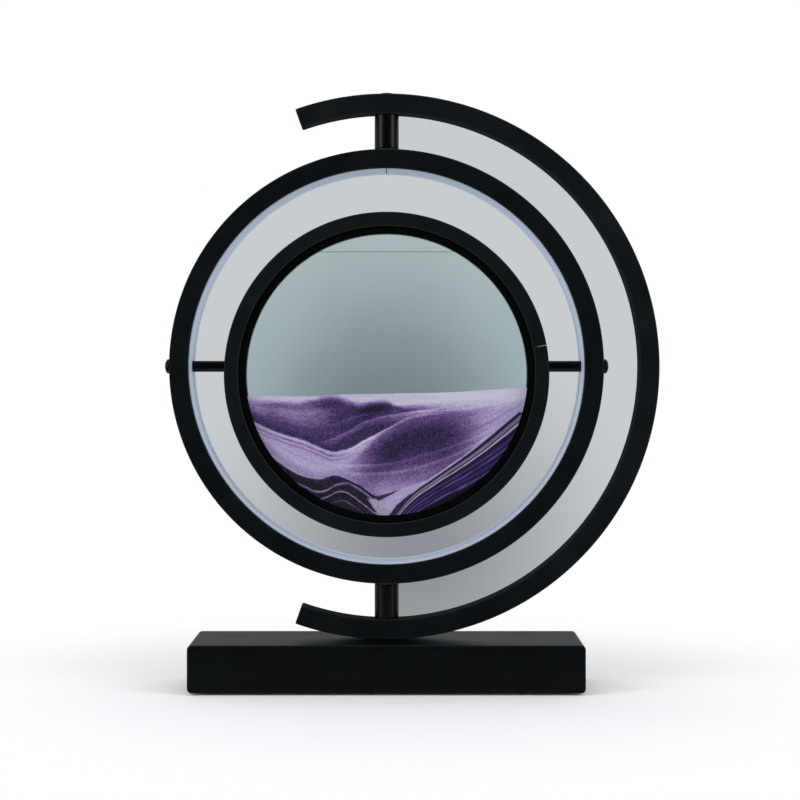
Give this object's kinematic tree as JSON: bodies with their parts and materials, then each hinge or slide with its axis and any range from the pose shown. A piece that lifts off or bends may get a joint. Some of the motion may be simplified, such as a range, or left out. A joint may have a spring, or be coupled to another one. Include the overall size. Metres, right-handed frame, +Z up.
{
  "type": "moving sand art lamp",
  "caption": "Round moving sand picture that flips on a level axle inside a lit ring, which swivels on posts inside an open C-shaped arm on a black block base.",
  "frame": {"origin": "centre of the base's underside, on the surface it stands on", "axes": "+Z up; +X to the right of someone facing the lamp; +Y to the back, away from them"},
  "size_m": [0.246, 0.05, 0.2945],
  "materials": {
    "black_paint": "matte black powder coat",
    "plated_steel": "zinc plated",
    "nickel": "nickel plated shell",
    "circuit_board": "green circuit board",
    "cable_sleeve": "white flexible sleeve",
    "foam": "black anti-slip foam",
    "nylon": "natural nylon",
    "light_strip": "white flexible light strip",
    "frosted_band": "frosted translucent band",
    "seal_rubber": "black sealant",
    "clear_glass": "clear float glass, faintly green",
    "clear_liquid": "clear liquid",
    "violet_sand": "loose violet and white grains",
    "dark_sand": "loose black and violet grains",
    "deep_sand": "loose deep violet grains"
  },
  "bodies": {
    "stand": {"base_housing": "black_paint", "base_bottom_plate": "plated_steel", "base_pad": "foam", "bottom_plate_screw_1": "plated_steel", "bottom_plate_screw_2": "plated_steel", "bottom_plate_screw_3": "plated_steel", "bottom_plate_screw_4": "plated_steel", "ballast_block": "plated_steel", "driver_board": "circuit_board", "board_screw_1": "plated_steel", "board_screw_2": "plated_steel", "power_inlet": "nickel", "led_lead": "cable_sleeve", "outer_arm": "black_paint", "arm_locating_pin": "plated_steel", "lower_post": "black_paint", "upper_post": "black_paint", "lower_swivel_washer": "nylon", "upper_swivel_washer": "nylon", "threaded_tube": "plated_steel", "lower_ring_nut": "plated_steel", "upper_ring_nut": "plated_steel", "base_lock_nut": "plated_steel", "base_lock_washer": "plated_steel", "upper_bolt": "black_paint"},
    "light_ring": {"ring_channel": "black_paint", "led_strip_right": "light_strip", "led_strip_left": "light_strip", "ring_diffuser": "frosted_band", "right_axle_bushing": "nylon", "left_axle_bushing": "nylon"},
    "sand_disc": {"disc_hoop": "black_paint", "front_glass": "clear_glass", "rear_glass": "clear_glass", "cell_seal": "seal_rubber", "fill_plug": "seal_rubber", "liquid": "clear_liquid", "sand_bed": "violet_sand", "sand_ridge": "dark_sand", "sand_slope": "deep_sand", "right_axle_rod": "black_paint", "left_axle_rod": "black_paint", "right_axle_screw": "plated_steel", "left_axle_screw": "plated_steel", "right_axle_cap": "black_paint", "left_axle_cap": "black_paint"}
  },
  "joints": [
    {"name": "ring_swivel", "type": "hinge", "parent": "stand", "child": "light_ring", "pos_m": [0, 0, 0.159], "axis": [0, 0, 1], "range_deg": [-180, 180]},
    {"name": "disc_flip", "type": "hinge", "parent": "light_ring", "child": "sand_disc", "pos_m": [0, 0, 0.159], "axis": [1, 0, 0], "continuous": true}
  ]
}
